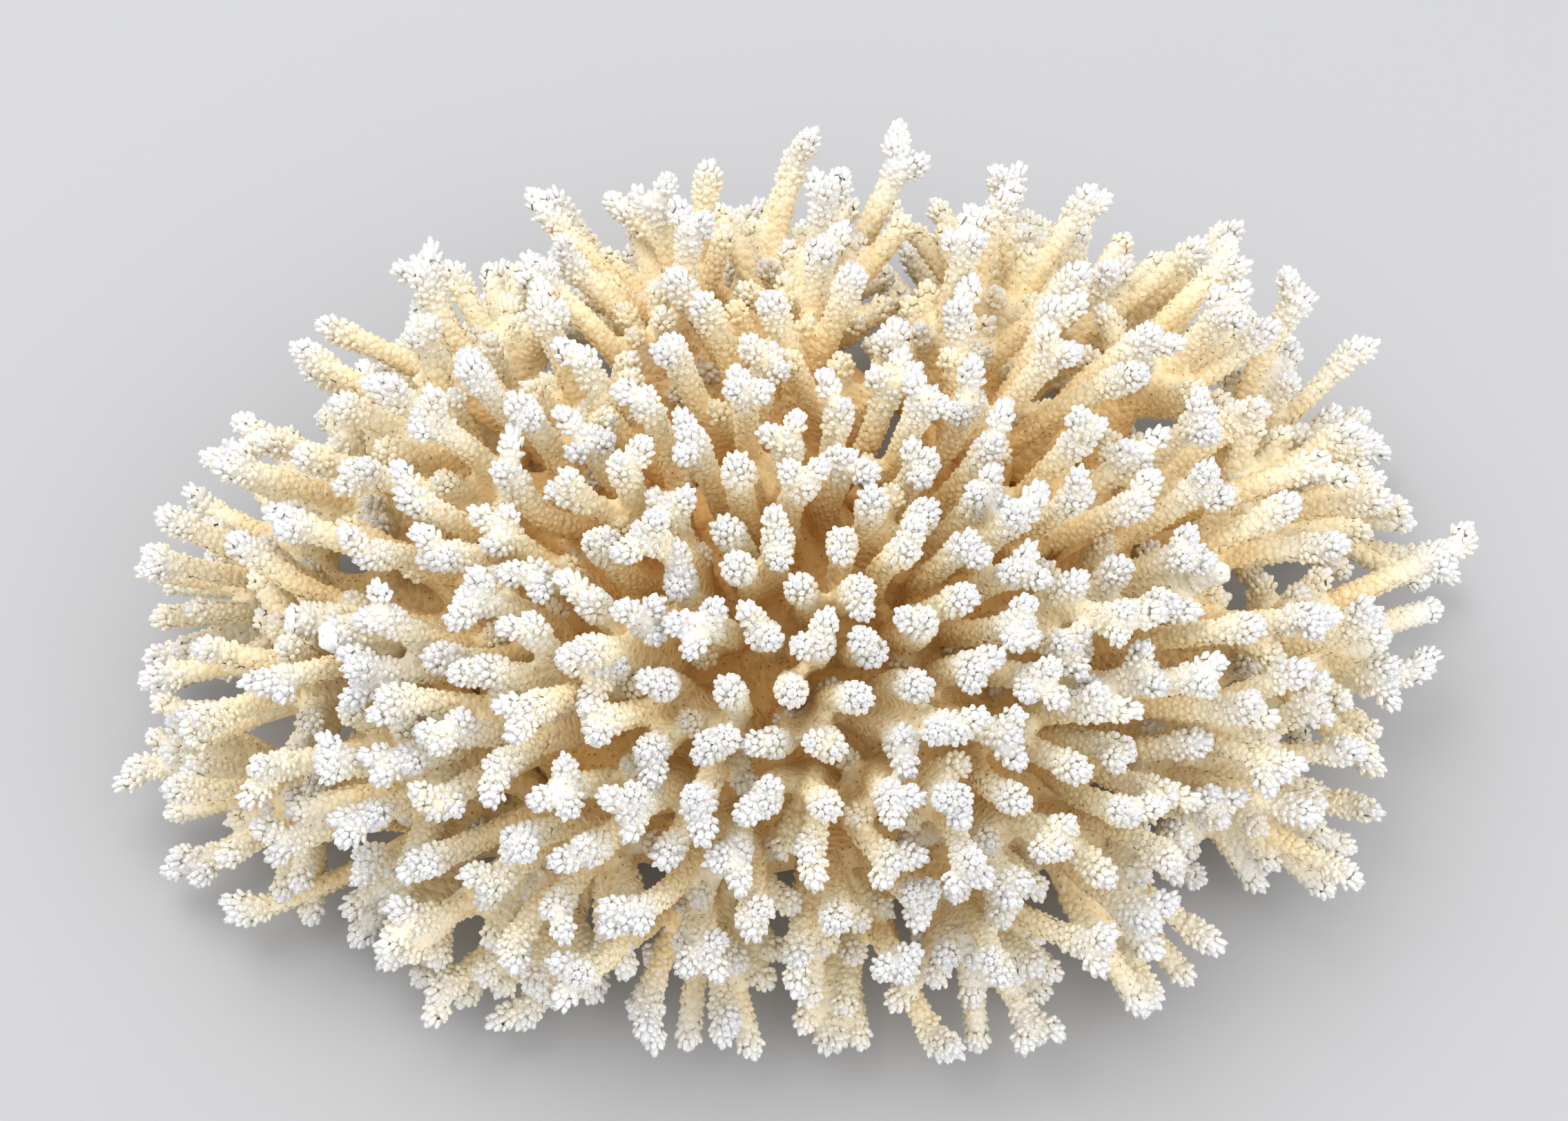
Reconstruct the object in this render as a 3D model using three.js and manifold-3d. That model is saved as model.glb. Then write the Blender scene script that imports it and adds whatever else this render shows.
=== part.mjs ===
// A bleached cluster coral: one colony of fingers that grew from a single holdfast.
// Millimetres, +Z up, origin in the middle of the flat cut under the holdfast, front towards -Y.
// The colony is split at its main forks, so each limb is one solid with all the fingers it bears.
import * as THREE from 'three';
import Module from 'manifold-3d';
import { ConvexGeometry } from 'three/addons/geometries/ConvexGeometry.js';
import { mergeVertices } from 'three/addons/utils/BufferGeometryUtils.js';

const wasm = await Module();
wasm.setup();

// Driving dimensions.
const crownHeight = 96; // top of the dome that the finger tips fill
const rimHeight = 14; // height of the outermost tips above the cut
const domeFullness = 2.5; // 2 is an ellipse, higher is boxier
const focusDepth = 28; // all fingers point away from here, below the cut
const fingerLength = 38; // free length of a finger above its last fork
const lowestFork = 13; // forks stay this far above the cut
const finger = { radius: 3.9, facets: 5, spread: 5 };
const branch = { radius: 4.8, spread: 5.6 };
const limb = { radius: 7, facets: 6 };
const joint = 3; // corners of the face that two joined solids share
const rootDepth = 1.5; // how far a shoot's base reaches into the solid below it
const seam = 0.35; // clearance left where two solids would meet

// Reach of the outline, every 15 degrees of bearing, from the right (+X) round by the back (+Y).
const reach = [
  152, 150, 146, 138, 127, 118, 112, 111, 115, 121, 128, 140,
  152, 152, 143, 129, 115, 106, 104, 108, 115, 128, 142, 143,
];
// Bites out of the outline: bearing, half width in degrees, and the share of the reach that is lost.
const bites = [
  { bearing: 324, halfWidth: 8, loss: 0.24 },
  { bearing: 221, halfWidth: 6, loss: 0.08 },
];
const frontCrowding = 0.5; // how much closer the fingers stand at the front than at the back
const tipSpacing = 14.5; // neighbouring tips move apart until they are about this far from each other
const lowestTip = 12;
const settlingSteps = 14;

// Rows of finger tips from the crown to the rim: share of the reach, and how many fingers.
const fingerRows = [
  [0, 1], [0.1, 6], [0.2, 11], [0.3, 16], [0.4, 21], [0.5, 26], [0.6, 29],
  [0.7, 31], [0.79, 31], [0.87, 30], [0.94, 29], [1, 26],
];
// Worn and broken fingers, by bearing and share of the reach, and the length that each has lost.
const wornFingers = [[193, 0.74], [200, 0.7], [348, 0.69]];
const wornLength = 9;
// Rings of limbs in the same terms.
const limbRings = [
  { name: 'crown_limb', share: 0, count: 1 },
  { name: 'shoulder_limb', share: 0.36, count: 6 },
  { name: 'flank_limb', share: 0.67, count: 10 },
  { name: 'rim_limb', share: 0.93, count: 14 },
];

// Holdfast profile, radius and height, before it is stretched along X.
const holdfast = {
  stretch: 1.25,
  sides: 15,
  profile: [[0, 0], [35, 0], [38, 7], [35, 18], [25, 27], [12, 31], [0, 32]],
};

const focus = new THREE.Vector3(0, 0, -focusDepth);

// A repeatable number from 0 to 1 for each index and purpose.
function chance(index, salt) {
  const value = Math.sin(index * 12.9898 + salt * 78.233) * 43758.5453;
  return value - Math.floor(value);
}

function reachAt(bearing) {
  const step = 360 / reach.length;
  const place = (((bearing % 360) + 360) % 360) / step;
  const before = Math.floor(place);
  const part = place - before;
  const smooth = part * part * (3 - 2 * part);
  const plain = reach[before % reach.length] * (1 - smooth) + reach[(before + 1) % reach.length] * smooth;
  return bites.reduce((length, bite) => length * (1 - bite.loss * nearness(bearing, bite)), plain);
}

function nearness(bearing, bite) {
  const away = Math.abs(((bearing - bite.bearing + 540) % 360) - 180);
  return Math.max(0, 1 - away / bite.halfWidth);
}

// The point of the dome at a bearing and a share of the reach there; depth shortens it towards the focus.
function onDome(bearing, share, depth = 1) {
  const angle = THREE.MathUtils.degToRad(bearing);
  const out = reachAt(bearing) * share;
  const rise = Math.pow(Math.max(1 - Math.pow(share, domeFullness), 0), 1 / domeFullness);
  const point = new THREE.Vector3(
    out * Math.cos(angle),
    out * Math.sin(angle),
    rimHeight + (crownHeight - rimHeight) * rise,
  );
  return point.sub(focus).multiplyScalar(depth).add(focus);
}

// Bearings that stand at equal steps along the colony's outline, closer together towards the front.
function evenBearings(count, start) {
  const run = [0];
  for (let degree = 0; degree < 360; degree += 1) {
    const step = onDome(degree, 1).distanceTo(onDome(degree + 1, 1));
    const crowding = 1 - frontCrowding * Math.sin(THREE.MathUtils.degToRad(degree));
    run.push(run[degree] + step * crowding);
  }
  const bearings = [];
  for (let i = 0; i < count; i += 1) {
    const wanted = (((i + start) / count) % 1) * run[360];
    const degree = run.findIndex((length) => length > wanted) - 1;
    bearings.push(degree + (wanted - run[degree]) / (run[degree + 1] - run[degree]));
  }
  return bearings;
}

function growTips() {
  const tips = [];
  fingerRows.forEach(([share, count], row) => {
    for (const bearing of evenBearings(count, chance(row, 5))) {
      const index = tips.length + 1;
      const aside = (chance(index, 1) - 0.5) * 180 / Math.max(count, 6);
      const along = (chance(index, 2) - 0.5) * 0.07 * (1.15 - share);
      const depth = 0.94 + 0.075 * chance(index, 3);
      const place = Math.min(Math.max(share + along, 0), 1);
      tips.push(onDome(bearing + aside, place, depth));
    }
  });
  for (let step = 0; step < settlingSteps; step += 1) settle(tips);
  for (const [bearing, share] of wornFingers) shorten(nearestTo(onDome(bearing, share), tips));
  return tips;
}

function nearestTo(point, others) {
  return others.reduce((best, one) => (one.distanceTo(point) < best.distanceTo(point) ? one : best));
}

function shorten(tip) {
  tip.addScaledVector(tip.clone().sub(focus).normalize(), -wornLength);
}

// Tips that stand too close push each other aside, square to the way that they grow.
function settle(tips) {
  const moves = tips.map((tip) => {
    const away = tip.clone().sub(focus).normalize();
    const move = new THREE.Vector3();
    for (const other of tips) {
      const gap = tip.clone().sub(other);
      const distance = gap.length();
      if (other === tip || distance >= tipSpacing) continue;
      gap.addScaledVector(away, -gap.dot(away));
      move.addScaledVector(gap, 0.35 * (tipSpacing - distance) / distance);
    }
    return move;
  });
  tips.forEach((tip, i) => {
    tip.add(moves[i]);
    tip.z = Math.max(tip.z, lowestTip);
  });
}

function growHeads() {
  const heads = [];
  limbRings.forEach(({ name, share, count }, ring) => {
    evenBearings(count, chance(ring, 7)).forEach((bearing, i) => {
      const title = count === 1 ? name : `${name}_${i + 1}`;
      heads.push({ name: title, point: onDome(bearing, share), bearing, share, tips: [] });
    });
  });
  return heads;
}

function shareOut(tips, heads) {
  for (const tip of tips) {
    const nearest = heads.reduce((best, head) => (
      head.point.distanceTo(tip) < best.point.distanceTo(tip) ? head : best));
    nearest.tips.push(tip);
  }
}

function mean(points) {
  const sum = points.reduce((total, point) => total.add(point), new THREE.Vector3());
  return sum.divideScalar(points.length);
}

// A limb's fingers fork off in groups of about three, taken in order round the limb's own axis.
function forkGroups(head) {
  const axis = head.point.clone().sub(focus).normalize();
  const side = new THREE.Vector3(0, 0, 1).cross(axis);
  if (side.length() < 0.01) side.set(1, 0, 0);
  side.normalize();
  const other = axis.clone().cross(side);
  const centre = mean(head.tips);
  const turn = (tip) => {
    const off = tip.clone().sub(centre);
    return Math.atan2(off.dot(other), off.dot(side));
  };
  const sorted = [...head.tips].sort((a, b) => turn(a) - turn(b));
  const groups = Math.max(1, Math.round(sorted.length / 3));
  return Array.from({ length: groups }, (_, g) => sorted.filter(
    (tip, i) => Math.floor(i * groups / sorted.length) === g));
}

function forkPoint(tips) {
  const top = mean(tips);
  const away = top.clone().sub(focus).normalize();
  const point = top.addScaledVector(away, -fingerLength);
  point.z = Math.max(point.z, lowestFork);
  return point;
}

// The corners of a regular section round a point, square to the direction that a shoot grows in.
function section(centre, direction, radius, facets) {
  const side = new THREE.Vector3(-direction.y, direction.x, 0.001).cross(direction).normalize();
  const other = direction.clone().cross(side);
  return Array.from({ length: facets }, (_, i) => {
    const angle = (i + 0.5) * 2 * Math.PI / facets;
    const corner = centre.clone().addScaledVector(side, radius * Math.cos(angle));
    return corner.addScaledVector(other, radius * Math.sin(angle));
  });
}

function toSolid(geometry) {
  geometry.deleteAttribute('normal');
  geometry.deleteAttribute('uv');
  const merged = mergeVertices(geometry, 0.001);
  return new wasm.Manifold(new wasm.Mesh({
    numProp: 3,
    vertProperties: new Float32Array(merged.attributes.position.array),
    triVerts: new Uint32Array(merged.index.array),
  }));
}

function toMesh(name, solid, material) {
  const { vertProperties, triVerts } = solid.getMesh();
  const geometry = new THREE.BufferGeometry();
  geometry.setAttribute('position', new THREE.BufferAttribute(vertProperties, 3));
  geometry.setIndex(new THREE.BufferAttribute(triVerts, 1));
  geometry.computeVertexNormals();
  const mesh = new THREE.Mesh(geometry, material);
  mesh.name = name;
  return mesh;
}

// Every solid of one limb, thicker by extra, as a list of closed geometries that share their end faces.
function limbGeometries(head, extra) {
  const forks = forkGroups(head).map((tips) => ({ tips, point: forkPoint(tips) }));
  const angle = THREE.MathUtils.degToRad(head.bearing);
  const spread = head.share * 24;
  const root = new THREE.Vector3(spread * holdfast.stretch * Math.cos(angle), spread * Math.sin(angle), 15);
  const middle = mean(forks.map((fork) => fork.point));
  const knee = middle.clone().lerp(root, 0.5);
  knee.z = Math.max(knee.z, lowestFork);
  const trunk = middle.clone().sub(root).normalize();
  const kneeCorners = section(root, trunk, limb.radius + extra, limb.facets);
  const pieces = [];
  for (const fork of forks) {
    const [start, aim] = besideAxis(knee, trunk, fork.point, branch.spread, forks.length);
    const startSection = section(start, aim, branch.radius + extra, joint);
    const forkCorners = [...startSection];
    kneeCorners.push(...startSection);
    for (const tip of fork.tips) {
      const [base, growth] = besideAxis(fork.point, aim, tip, finger.spread, fork.tips.length);
      const baseSection = section(base, growth, finger.radius + extra, joint);
      const shoulder = tip.clone().addScaledVector(growth, -finger.radius * 0.6);
      forkCorners.push(...baseSection);
      pieces.push(new ConvexGeometry([
        ...baseSection,
        ...section(shoulder, growth, finger.radius * 0.85 + extra, finger.facets),
        tip.clone().addScaledVector(growth, extra),
        rootedIn(base, growth),
      ]));
    }
    pieces.push(new ConvexGeometry([...forkCorners, rootedIn(start, aim)]));
  }
  pieces.push(new ConvexGeometry(kneeCorners));
  return pieces;
}

// A point that holds a shoot in the solid that it grows from.
function rootedIn(base, growth) {
  return base.clone().addScaledVector(growth, -rootDepth);
}

// Where a shoot leaves a fork, and its direction: shoots stand apart, each on the side that it leans to.
function besideAxis(knob, axis, target, spread, shoots) {
  const aside = target.clone().sub(knob);
  aside.addScaledVector(axis, -aside.dot(axis));
  const start = knob.clone();
  if (shoots > 1) start.addScaledVector(aside.normalize(), spread);
  return [start, target.clone().sub(start).normalize()];
}

function joined(geometries) {
  return geometries.map(toSolid).reduce((whole, piece) => whole.add(piece));
}

function holdfastGeometry(extra) {
  const points = holdfast.profile.map(([radius, height]) => new THREE.Vector2(
    radius === 0 ? 0 : radius + extra,
    height === 0 ? 0 : height + extra,
  ));
  const geometry = new THREE.LatheGeometry(points, holdfast.sides);
  geometry.rotateX(Math.PI / 2);
  geometry.scale(holdfast.stretch, 1, 1);
  return geometry;
}

function largestBody(solid) {
  return solid.decompose().reduce((best, body) => (body.volume() > best.volume() ? body : best));
}

function skeleton(colour) {
  return new THREE.MeshStandardMaterial({ color: colour, roughness: 0.75, metalness: 0 });
}

const heads = growHeads();
shareOut(growTips(), heads);

const colony = new THREE.Group();
colony.add(toMesh('holdfast', toSolid(holdfastGeometry(0)), skeleton('#cdb489')));

const neighbours = [toSolid(holdfastGeometry(seam))];
for (const head of heads) {
  const whole = joined(limbGeometries(head, 0));
  const cleared = neighbours.reduce((solid, other) => solid.subtract(other), whole);
  colony.add(toMesh(head.name, largestBody(cleared), skeleton('#efe4cd')));
  neighbours.push(joined(limbGeometries(head, seam)));
}

export default colony;
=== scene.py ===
import math

import bpy
import numpy as np
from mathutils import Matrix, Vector
from mathutils.kdtree import KDTree


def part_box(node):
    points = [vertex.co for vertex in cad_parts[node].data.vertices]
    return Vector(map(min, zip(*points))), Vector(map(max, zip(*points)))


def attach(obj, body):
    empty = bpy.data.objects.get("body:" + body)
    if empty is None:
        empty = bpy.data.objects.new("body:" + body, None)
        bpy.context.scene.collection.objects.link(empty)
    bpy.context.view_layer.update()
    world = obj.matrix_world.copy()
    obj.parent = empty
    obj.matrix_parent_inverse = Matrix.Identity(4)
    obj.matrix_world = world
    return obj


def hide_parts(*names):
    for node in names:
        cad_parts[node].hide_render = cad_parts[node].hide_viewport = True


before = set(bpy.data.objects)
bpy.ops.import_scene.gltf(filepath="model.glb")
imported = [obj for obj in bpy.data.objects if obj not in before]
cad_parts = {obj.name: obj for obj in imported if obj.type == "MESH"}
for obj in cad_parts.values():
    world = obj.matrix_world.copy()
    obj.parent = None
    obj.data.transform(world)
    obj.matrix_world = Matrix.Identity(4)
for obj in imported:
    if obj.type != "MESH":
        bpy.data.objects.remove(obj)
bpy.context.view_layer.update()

# Bleached cluster coral: limbs of cup-covered fingers on one holdfast.
# Everything is grown in millimetres and goes to metres when its mesh is made.
mm = 0.001

colony = {
    # the same rule and sizes as the solids
    "crownHeight": 96.0,
    "rimHeight": 14.0,
    "domeFullness": 2.5,
    "focusDepth": 28.0,         # all fingers point away from here
    "fingerLength": 38.0,       # above the last fork
    "lowestFork": 13.0,
    "lowestTip": 12.0,
    "frontCrowding": 0.5,
    "asideJitter": 180,         # degrees, shared out over the fingers of a row
    "alongJitter": 0.07,
    "tipDepth": (0.94, 0.075),  # least, and how much more by chance
    "tipSpacing": 14.5,
    "settlingSteps": 14,
    "settlingPush": 0.35,
    # outline reach every 15 degrees, from the right round by the back
    "reach": [152, 150, 146, 138, 127, 118, 112, 111, 115, 121, 128, 140,
              152, 152, 143, 129, 115, 106, 104, 108, 115, 128, 142, 143],
    # bearing, half width, share of the reach that is bitten off
    "bites": [(324, 8, 0.24), (221, 6, 0.08)],
    # share of the reach and number of fingers, row by row
    "fingerRows": [(0, 1), (0.1, 6), (0.2, 11), (0.3, 16), (0.4, 21), (0.5, 26), (0.6, 29),
                   (0.7, 31), (0.79, 31), (0.87, 30), (0.94, 29), (1, 26)],
    "limbRings": [("crown_limb", 0, 1), ("shoulder_limb", 0.36, 6),
                  ("flank_limb", 0.67, 10), ("rim_limb", 0.93, 14)],
    # broken fingers, by bearing and share of the reach
    "wornFingers": [(193, 0.74, "broken"), (200, 0.7, "broken"), (348, 0.69, "smooth")],
    "wornLength": 9.0,
    "rootSpread": 24.0,
    "rootStretch": 1.25,
    "rootHeight": 15.0,
    "branchSpread": 5.6,
    "fingerSpread": 5.0,
}
focus = np.array([0.0, 0.0, -colony["focusDepth"]])


def chance(index, salt):
    # a fixed draw between 0 and 1 for each index and salt
    value = math.sin(index * 12.9898 + salt * 78.233) * 43758.5453
    return value - math.floor(value)


def unit(v):
    return v / np.linalg.norm(v)


def reachAt(bearing):
    # how far the outline stands out at a bearing
    reach = colony["reach"]
    place = (bearing % 360) / (360 / len(reach))
    before = math.floor(place)
    part = place - before
    smooth = part * part * (3 - 2 * part)
    length = reach[before % len(reach)] * (1 - smooth) + reach[(before + 1) % len(reach)] * smooth
    for middle, halfWidth, loss in colony["bites"]:
        away = abs((bearing - middle + 540) % 360 - 180)
        length *= 1 - loss * max(0, 1 - away / halfWidth)
    return length


def onDome(bearing, share, depth=1.0):
    angle = math.radians(bearing)
    out = reachAt(bearing) * share
    full = colony["domeFullness"]
    rise = max(1 - share ** full, 0) ** (1 / full)
    up = colony["rimHeight"] + (colony["crownHeight"] - colony["rimHeight"]) * rise
    point = np.array([out * math.cos(angle), out * math.sin(angle), up])
    return focus + (point - focus) * depth


def evenBearings(count, start):
    # bearings at even steps along the outline, a little closer at the front
    run = [0.0]
    for degree in range(360):
        step = math.dist(onDome(degree, 1), onDome(degree + 1, 1))
        run.append(run[-1] + step * (1 - colony["frontCrowding"] * math.sin(math.radians(degree))))
    bearings = []
    for i in range(count):
        wanted = ((i + start) / count) % 1 * run[360]
        degree = next(d for d in range(361) if run[d] > wanted) - 1
        bearings.append(degree + (wanted - run[degree]) / (run[degree + 1] - run[degree]))
    return bearings


wornTips = []


def growTips():
    tips = []
    for row, (share, count) in enumerate(colony["fingerRows"]):
        for bearing in evenBearings(count, chance(row, 5)):
            index = len(tips) + 1
            aside = (chance(index, 1) - 0.5) * colony["asideJitter"] / max(count, 6)
            along = (chance(index, 2) - 0.5) * colony["alongJitter"] * (1.15 - share)
            depth = colony["tipDepth"][0] + colony["tipDepth"][1] * chance(index, 3)
            tips.append(onDome(bearing + aside, min(max(share + along, 0), 1), depth))
    tips = np.array(tips)
    # tips that stand too close push each other aside
    spacing = colony["tipSpacing"]
    for _ in range(colony["settlingSteps"]):
        away = tips - focus
        away /= np.linalg.norm(away, axis=1)[:, None]
        gap = tips[:, None] - tips[None]
        distance = np.linalg.norm(gap, axis=2)
        gap -= (gap * away[:, None]).sum(2)[..., None] * away[:, None]
        near = (distance < spacing) & (distance > 0)
        apart = np.where(near, distance, 1)
        push = np.where(near, colony["settlingPush"] * (spacing - distance) / apart, 0)
        tips = tips + (gap * push[..., None]).sum(1)
        tips[:, 2] = np.maximum(tips[:, 2], colony["lowestTip"])
    for bearing, share, kind in colony["wornFingers"]:
        worn = np.linalg.norm(tips - onDome(bearing, share), axis=1).argmin()
        tips[worn] -= unit(tips[worn] - focus) * colony["wornLength"]
        wornTips.append((tips[worn], kind))
    return tips


def wearOf(tip):
    return next((kind for worn, kind in wornTips if math.dist(worn, tip) < 0.01), None)


def growLimbs():
    # each limb takes the tips nearest to its head
    limbs = []
    for ring, (name, share, count) in enumerate(colony["limbRings"]):
        for i, bearing in enumerate(evenBearings(count, chance(ring, 7))):
            title = name if count == 1 else f"{name}_{i + 1}"
            limbs.append({"name": title, "bearing": bearing, "share": share,
                          "head": onDome(bearing, share), "tips": []})
    for tip in growTips():
        nearest = min(limbs, key=lambda limb: math.dist(limb["head"], tip))
        nearest["tips"].append(tip)
    return limbs


def forkGroups(limb):
    # about three neighbouring tips to a fork
    axis = unit(limb["head"] - focus)
    side = np.cross([0, 0, 1], axis)
    side = unit(side) if np.linalg.norm(side) > 0.01 else np.array([1.0, 0, 0])
    other = np.cross(axis, side)
    centre = np.mean(limb["tips"], axis=0)
    turned = sorted(limb["tips"],
                    key=lambda tip: math.atan2((tip - centre) @ other, (tip - centre) @ side))
    groups = max(1, math.floor(len(turned) / 3 + 0.5))
    return [[tip for i, tip in enumerate(turned) if i * groups // len(turned) == group]
            for group in range(groups)]


def lowRow(row, salt, depth):
    # evenly spread places along one row of the dome
    share = math.sin(row / lowFinger["rows"] * math.pi / 2) ** lowFinger["rowCrowding"]
    count = max(1, round(share * lowFinger["outlineRun"] / lowFinger["alongRow"]))
    return [onDome((k + chance(row, salt)) * 360 / count, share, depth) for k in range(count)]


def growLowTips(tips):
    # ends of the short fingers that fill the gaps between the long ones
    tips = np.array(tips)
    lows, deep = [], []
    for row in range(lowFinger["rows"], 0, -1):
        for point in lowRow(row, 66, lowFinger["domeShare"]):
            if np.linalg.norm(tips - point, axis=1).min() < lowFinger["clearOfTips"]:
                continue
            if lows and np.linalg.norm(np.array(lows) - point, axis=1).min() < lowFinger["apart"]:
                continue
            lows.append(point)
    # and a deeper, sparser set behind them
    for row in range(lowFinger["rows"], lowFinger["deepFirstRow"], -1):
        for point in lowRow(row, 67, 1):
            if deep and np.linalg.norm(np.array(deep) - point, axis=1).min() < lowFinger["deepApart"]:
                continue
            deep.append(point)
    least, most = lowFinger["deepDepth"]
    deep = [focus + (point - focus) * (least + (most - least) * chance(k, 68))
            for k, point in enumerate(deep)]
    for k, point in enumerate(lows):
        blend = lowFinger["rimBlend"]
        turned = np.clip((lowFinger["rimBelow"] + blend - point[2]) / blend, 0, 1)
        least, most = (lowFinger["depth"][i] * (1 - turned) + lowFinger["rimDepth"][i] * turned
                       for i in (0, 1))
        lows[k] = focus + (point - focus) * (least + (most - least) * chance(k, 61))
        lows[k][2] = max(lows[k][2], lowFinger["lowest"])
    deep += [onDome(*place) for place in lowFinger["extra"]]
    return lows + [point for point in deep if point[2] > lowFinger["deepLowest"]]


def forkPoint(tips):
    top = np.mean(tips, axis=0)
    point = top - unit(top - focus) * colony["fingerLength"]
    point[2] = max(point[2], colony["lowestFork"])
    return point


def besideAxis(knob, axis, target, spread, shoots):
    aside = target - knob
    aside = aside - axis * (aside @ axis)
    start = knob + unit(aside) * spread if shoots > 1 else knob
    return start, unit(target - start)


stem = {
    "limbRadius": 9.5,
    "branchRadius": 6.4,
    "fingerRadius": 4.4,        # at the fork
    "tipRadius": 2.65,          # under the last cups
    "rimTipRadius": 2.35,       # the outermost fingers are slimmer
    "slimFrom": (0.72, 0.28),   # from this share of the reach, over this much
    "lowFingerRadius": 3.7,     # the short fingers in between
    "lowTipRadius": 2.5,
    "taper": 0.62,
    "flare": 1.12,              # how much thicker a branch leaves its limb
    "endShare": 0.97,           # how thick limbs and lobes end, of their start
    "fingerVariety": (0.94, 0.12),  # least thickness, and how much more by chance
    "lowVariety": (0.92, 0.16),
    "leastRadius": 0.35,
    "wornExtra": 0.5,           # a broken finger ends this much thicker
    "limbDepth": 1.9,           # limbs are tinted as if this many finger lengths down, partly painted shade deep in the colony
    "kneeOverlap": 9.0,         # how far branches start inside the limb
    "forkOverlap": 7.0,         # and fingers inside the branch
    "rimPaleness": 0.55,        # how much less the outer limbs turn to honey, the honey being partly painted shade deep in the colony
    "paleFrom": (0.3, 0.5),
    "capLength": 3.8,
    "sides": 12,
    "step": 1.6,
    "wander": 2.5,              # how far a finger bows off its line
    "skinMargin": 0.12,
    "voxel": 1.55,
    "smoothing": 3,
    "keep": 0.27,               # share of the triangles kept after fusing
}
lobe = {
    "chances": [0.22, 0.36, 0.29, 0.13],    # none, one, two or three side lobes
    "below": (1.5, 7.0),        # how far under the tip they leave
    "length": (3.2, 6.2),
    "lean": (32, 56),
    "turn": (2.4, 0.8),         # round the finger to the next lobe, and by chance
    "bend": 0.45,               # share of the length where it bends up
    "upturn": 0.6,
    "belowLowestTip": 3.0,
    "radius": 2.25,
    "variety": (0.92, 0.16),
}
lowFinger = {
    # short fingers that fill the gaps between the long ones
    "rows": 40,
    "rowCrowding": 0.8,         # under 1, rows move outwards
    "outlineRun": 830.0,        # length of the outermost row
    "alongRow": 6.0,
    "clearOfTips": 8.1,
    "apart": 10.0,
    "domeShare": 0.98,
    "depth": (0.80, 0.93),      # of the way out from the focus, on the dome
    "rimDepth": (0.84, 0.99),   # and where the colony turns down at its rim
    "rimBelow": 42.0,
    "rimBlend": 20.0,
    # bearing, share of the reach, depth
    "extra": [(2, 0.92, 0.86), (357, 0.86, 0.80), (197, 0.86, 0.82), (176, 0.8, 0.78)],
    "deepFirstRow": 8,
    "deepDepth": (0.66, 0.80),
    "deepApart": 17.0,
    "deepLowest": 15.0,
    "lowest": 9.0,
    "bow": 3.5,
    "under": 10.0,              # their tips are tinted as if this far down a finger: painted shade, as they stand under the long fingers
    "rimUnder": (0.7, 0.25, 0.8),   # from this share of the reach, over this much, this much less of that painted shade
}
bridge = {
    # fused stems between neighbouring forks
    "reach": 31.0,
    "radius": 3.6,
    "sag": 8.0,
}


def curve(points, step):
    # a smooth line through the points, with the distance run along it
    points = [np.asarray(p, float) for p in points]
    line = []
    for i in range(len(points) - 1):
        a, b = points[max(i - 1, 0)], points[i]
        c, d = points[i + 1], points[min(i + 2, len(points) - 1)]
        count = max(2, math.ceil(math.dist(b, c) / step))
        for k in range(count):
            t = k / count
            line.append(0.5 * (2 * b + (c - a) * t + (2 * a - 5 * b + 4 * c - d) * t ** 2
                               + (3 * b - a - 3 * c + d) * t ** 3))
    line.append(points[-1])
    line = np.array(line)
    run = np.concatenate([[0], np.cumsum(np.linalg.norm(np.diff(line, axis=0), axis=1))])
    return line, run


def framesAlong(line):
    # three directions at every point: along, and two across
    along = np.gradient(line, axis=0)
    along /= np.linalg.norm(along, axis=1)[:, None]
    hint = np.array([0.31, 0.22, 0.92])
    if abs(along[0] @ hint) >= 0.9:
        hint = np.array([1.0, 0, 0])
    side = hint - along * (along @ hint)[:, None]
    side /= np.linalg.norm(side, axis=1)[:, None]
    return along, side, np.cross(along, side)


def roundedTip(fromTip, radius):
    into = np.clip(fromTip / stem["capLength"], 0, 1)
    return radius * np.sqrt(1 - (1 - into) ** 2)


def tube(line, radii, sides):
    _, side, other = framesAlong(line)
    angle = np.arange(sides) * 2 * math.pi / sides
    ring = np.cos(angle)[None, :, None] * side[:, None] + np.sin(angle)[None, :, None] * other[:, None]
    verts = (line[:, None] + ring * radii[:, None, None]).reshape(-1, 3)
    rings = len(line)
    a = (np.arange(rings - 1)[:, None] * sides + np.arange(sides)).ravel()
    b = (np.arange(rings - 1)[:, None] * sides + (np.arange(sides) + 1) % sides).ravel()
    faces = np.concatenate([np.stack([a, b, b + sides], 1), np.stack([a, b + sides, a + sides], 1)])
    k = np.arange(1, sides - 1)
    start = np.stack([np.zeros_like(k), k + 1, k], 1)
    end = np.stack([np.zeros_like(k), k, k + 1], 1) + (rings - 1) * sides
    return verts, np.concatenate([faces, start, end])


def between(limits, draw):
    return limits[0] + draw * (limits[1] - limits[0])


def varied(leastAndMore, draw):
    return leastAndMore[0] + leastAndMore[1] * draw


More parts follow.
